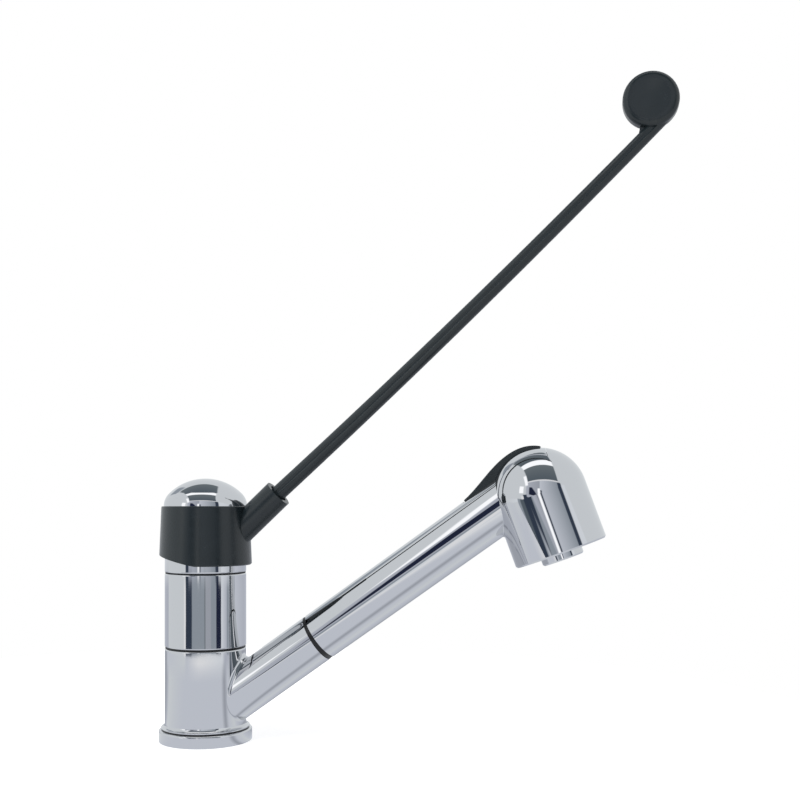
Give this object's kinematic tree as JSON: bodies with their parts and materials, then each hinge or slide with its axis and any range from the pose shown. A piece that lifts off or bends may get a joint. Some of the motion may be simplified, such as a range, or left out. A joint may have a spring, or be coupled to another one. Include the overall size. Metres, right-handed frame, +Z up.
{
  "type": "pull-out mixer tap",
  "caption": "Single-lever deck mixer tap with a long elbow lever, a swivelling inclined spout and a pull-out spray handset with a jet and spray rocker.",
  "frame": {"origin": "centre of the base's underside, on the deck", "axes": "+Z up out of the deck, +X along the spout and lever at rest, +Y to the tap's left seen from behind"},
  "size_m": [0.3028, 0.055, 0.3794],
  "materials": {
    "chrome_brass": "bright chrome plate on brass",
    "chrome_abs": "bright chrome plate on moulded plastic",
    "cast_brass": "machined casting",
    "black_nylon": "moulded, satin black",
    "black_acetal": "moulded black",
    "rubber": "black rubber",
    "grey_plastic": "moulded grey",
    "cartridge_plastic": "moulded off-white",
    "ceramic": "lapped alumina",
    "steel": "stainless steel",
    "braided_hose": "grey braided nylon"
  },
  "bodies": {
    "body": {"base_ring": "chrome_brass", "base_gasket": "rubber", "inlet_base": "cast_brass", "inner_body": "cast_brass", "lower_glide_ring": "black_acetal", "upper_glide_ring": "black_acetal", "upper_sleeve": "chrome_brass", "cover_ring": "chrome_brass", "cover_seal": "rubber", "swivel_stop_pin": "steel", "cartridge_base": "cartridge_plastic", "port_seals": "rubber", "fixed_disc": "ceramic", "cartridge_housing": "cartridge_plastic", "cartridge_nut": "cast_brass"},
    "spout": {"spout_body": "chrome_brass", "spout_bush": "black_acetal"},
    "handset": {"handset_shell": "chrome_abs", "handset_spigot": "grey_plastic", "waterway_pipe": "grey_plastic", "check_valve": "grey_plastic", "hose_nut": "cast_brass", "hose_seal": "rubber", "pull_out_hose": "braided_hose", "head_shell": "chrome_abs", "diverter_body": "grey_plastic", "outlet_body": "grey_plastic", "nozzle_mat": "rubber", "spray_face": "grey_plastic", "aerator_ring": "chrome_abs", "aerator_insert": "grey_plastic", "rocker_pin": "steel"},
    "rocker": {"diverter_rocker": "black_nylon"},
    "stem": {"diverter_stem": "grey_plastic"},
    "turret": {"turret": "cartridge_plastic", "spindle_pin": "steel"},
    "discs": {"disc_carrier": "cartridge_plastic", "moving_disc": "ceramic"},
    "handle": {"spindle": "steel", "handle_collar": "black_nylon", "handle_screw": "steel", "dome_cap": "chrome_abs", "lever_rod": "black_nylon", "socket_screw": "steel"}
  },
  "joints": [
    {"name": "spout_swivel", "type": "hinge", "parent": "body", "child": "spout", "pos_m": [0, 0, 0.03], "axis": [0, 0, 1], "range_deg": [-55, 55]},
    {"name": "handset_pull", "type": "slide", "parent": "spout", "child": "handset", "axis": [0.8138, 0, 0.5811], "range_m": [0, 0.45], "deforming": ["pull_out_hose"]},
    {"name": "rocker_tip", "type": "hinge", "parent": "handset", "child": "rocker", "pos_m": [0.18045, 0, 0.15716], "axis": [0, -1, 0], "range_deg": [0, 4.5]},
    {"name": "stem_slide", "type": "slide", "parent": "handset", "child": "stem", "axis": [-0.3437, 0, 0.9391], "range_m": [0, 0.0007]},
    {"name": "handle_turn", "type": "hinge", "parent": "body", "child": "turret", "pos_m": [0, 0, 0.104], "axis": [0, 0, 1], "range_deg": [-45, 45]},
    {"name": "handle_lift", "type": "hinge", "parent": "turret", "child": "handle", "pos_m": [0, 0, 0.104], "axis": [0, -1, 0], "range_deg": [0, 12.5]},
    {"name": "disc_slide", "type": "slide", "parent": "turret", "child": "discs", "axis": [1, 0, 0], "range_m": [0, 0.004]}
  ],
  "couplings": [
    {"joint": "stem_slide", "follows": "rocker_tip", "m_per_rad": 0.0085},
    {"joint": "disc_slide", "follows": "handle_lift", "m_per_rad": 0.018}
  ]
}
